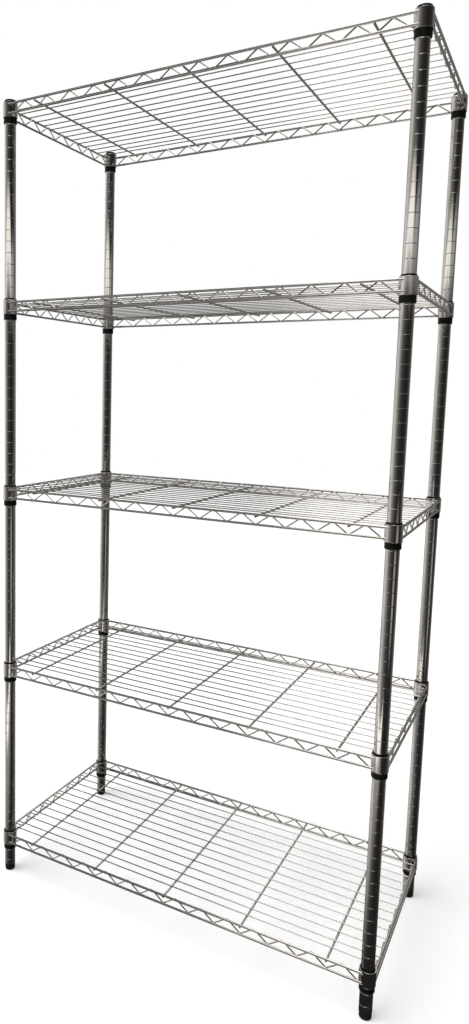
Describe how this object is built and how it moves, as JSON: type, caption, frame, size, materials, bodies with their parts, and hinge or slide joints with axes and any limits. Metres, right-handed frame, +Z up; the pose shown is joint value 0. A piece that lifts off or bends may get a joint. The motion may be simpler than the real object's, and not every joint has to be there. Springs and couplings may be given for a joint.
{
  "type": "wire shelving unit",
  "caption": "Free-standing chrome wire shelving unit: lift-off wire shelves wedged on split sleeves that clip to grooved tube posts with levelling feet.",
  "frame": {"origin": "centre of the rectangle between the four feet, on the floor", "axes": "+X along the shelves to the right seen from the front, +Y from front to back, +Z up"},
  "size_m": [0.9064, 0.4604, 1.836],
  "materials": {
    "chrome_post": "bright plated",
    "chrome_wire": "bright plated",
    "chrome_collar": "bright plated",
    "black_plastic": "fine satin",
    "black_sleeve": "fine satin",
    "black_foot": "matt",
    "zinc_steel": "zinc plated"
  },
  "bodies": {
    "posts": {"post_lower_front_left": "chrome_post", "post_upper_front_left": "chrome_post", "post_lower_front_right": "chrome_post", "post_upper_front_right": "chrome_post", "post_lower_back_left": "chrome_post", "post_upper_back_left": "chrome_post", "post_lower_back_right": "chrome_post", "post_upper_back_right": "chrome_post", "post_connectors": "zinc_steel", "post_caps": "black_plastic", "foot_inserts": "black_plastic", "sleeve_front_half_1": "black_sleeve", "sleeve_back_half_1": "black_sleeve", "sleeve_front_half_2": "black_sleeve", "sleeve_back_half_2": "black_sleeve", "sleeve_front_half_3": "black_sleeve", "sleeve_back_half_3": "black_sleeve", "sleeve_front_half_4": "black_sleeve", "sleeve_back_half_4": "black_sleeve", "sleeve_front_half_5": "black_sleeve", "sleeve_back_half_5": "black_sleeve"},
    "shelf_1": {"collars_1": "chrome_collar", "rim_upper_1": "chrome_wire", "rim_lower_1": "chrome_wire", "truss_wires_1": "chrome_wire", "cross_wires_1": "chrome_wire", "deck_wires_1": "chrome_wire"},
    "shelf_2": {"collars_2": "chrome_collar", "rim_upper_2": "chrome_wire", "rim_lower_2": "chrome_wire", "truss_wires_2": "chrome_wire", "cross_wires_2": "chrome_wire", "deck_wires_2": "chrome_wire"},
    "shelf_3": {"collars_3": "chrome_collar", "rim_upper_3": "chrome_wire", "rim_lower_3": "chrome_wire", "truss_wires_3": "chrome_wire", "cross_wires_3": "chrome_wire", "deck_wires_3": "chrome_wire"},
    "shelf_4": {"collars_4": "chrome_collar", "rim_upper_4": "chrome_wire", "rim_lower_4": "chrome_wire", "truss_wires_4": "chrome_wire", "cross_wires_4": "chrome_wire", "deck_wires_4": "chrome_wire"},
    "shelf_5": {"collars_5": "chrome_collar", "rim_upper_5": "chrome_wire", "rim_lower_5": "chrome_wire", "truss_wires_5": "chrome_wire", "cross_wires_5": "chrome_wire", "deck_wires_5": "chrome_wire"},
    "pad_front_left": {"foot_pad_front_left": "black_foot"},
    "stud_front_left": {"foot_stud_front_left": "zinc_steel"},
    "pad_front_right": {"foot_pad_front_right": "black_foot"},
    "stud_front_right": {"foot_stud_front_right": "zinc_steel"},
    "pad_back_left": {"foot_pad_back_left": "black_foot"},
    "stud_back_left": {"foot_stud_back_left": "zinc_steel"},
    "pad_back_right": {"foot_pad_back_right": "black_foot"},
    "stud_back_right": {"foot_stud_back_right": "zinc_steel"}
  },
  "joints": [
    {"name": "shelf_1_lift", "type": "slide", "parent": "posts", "child": "shelf_1", "axis": [0, 0, 1], "range_m": [0, 0.385]},
    {"name": "shelf_2_lift", "type": "slide", "parent": "posts", "child": "shelf_2", "axis": [0, 0, 1], "range_m": [0, 0.385]},
    {"name": "shelf_3_lift", "type": "slide", "parent": "posts", "child": "shelf_3", "axis": [0, 0, 1], "range_m": [0, 0.385]},
    {"name": "shelf_4_lift", "type": "slide", "parent": "posts", "child": "shelf_4", "axis": [0, 0, 1], "range_m": [0, 0.385]},
    {"name": "shelf_5_lift", "type": "slide", "parent": "posts", "child": "shelf_5", "axis": [0, 0, 1], "range_m": [0, 0.1]},
    {"name": "foot_front_left_travel", "type": "slide", "parent": "posts", "child": "pad_front_left", "axis": [0, 0, -1], "range_m": [0, 0.02]},
    {"name": "foot_front_left_turn", "type": "hinge", "parent": "pad_front_left", "child": "stud_front_left", "pos_m": [-0.437, -0.214, 0.004], "axis": [0, 0, -1], "range_deg": [0, 5760]},
    {"name": "foot_front_right_travel", "type": "slide", "parent": "posts", "child": "pad_front_right", "axis": [0, 0, -1], "range_m": [0, 0.02]},
    {"name": "foot_front_right_turn", "type": "hinge", "parent": "pad_front_right", "child": "stud_front_right", "pos_m": [0.437, -0.214, 0.004], "axis": [0, 0, -1], "range_deg": [0, 5760]},
    {"name": "foot_back_left_travel", "type": "slide", "parent": "posts", "child": "pad_back_left", "axis": [0, 0, -1], "range_m": [0, 0.02]},
    {"name": "foot_back_left_turn", "type": "hinge", "parent": "pad_back_left", "child": "stud_back_left", "pos_m": [-0.437, 0.214, 0.004], "axis": [0, 0, -1], "range_deg": [0, 5760]},
    {"name": "foot_back_right_travel", "type": "slide", "parent": "posts", "child": "pad_back_right", "axis": [0, 0, -1], "range_m": [0, 0.02]},
    {"name": "foot_back_right_turn", "type": "hinge", "parent": "pad_back_right", "child": "stud_back_right", "pos_m": [0.437, 0.214, 0.004], "axis": [0, 0, -1], "range_deg": [0, 5760]}
  ],
  "couplings": [
    {"joint": "foot_front_left_turn", "follows": "foot_front_left_travel", "rad_per_m": 5026.5},
    {"joint": "foot_front_right_turn", "follows": "foot_front_right_travel", "rad_per_m": 5026.5},
    {"joint": "foot_back_left_turn", "follows": "foot_back_left_travel", "rad_per_m": 5026.5},
    {"joint": "foot_back_right_turn", "follows": "foot_back_right_travel", "rad_per_m": 5026.5}
  ]
}
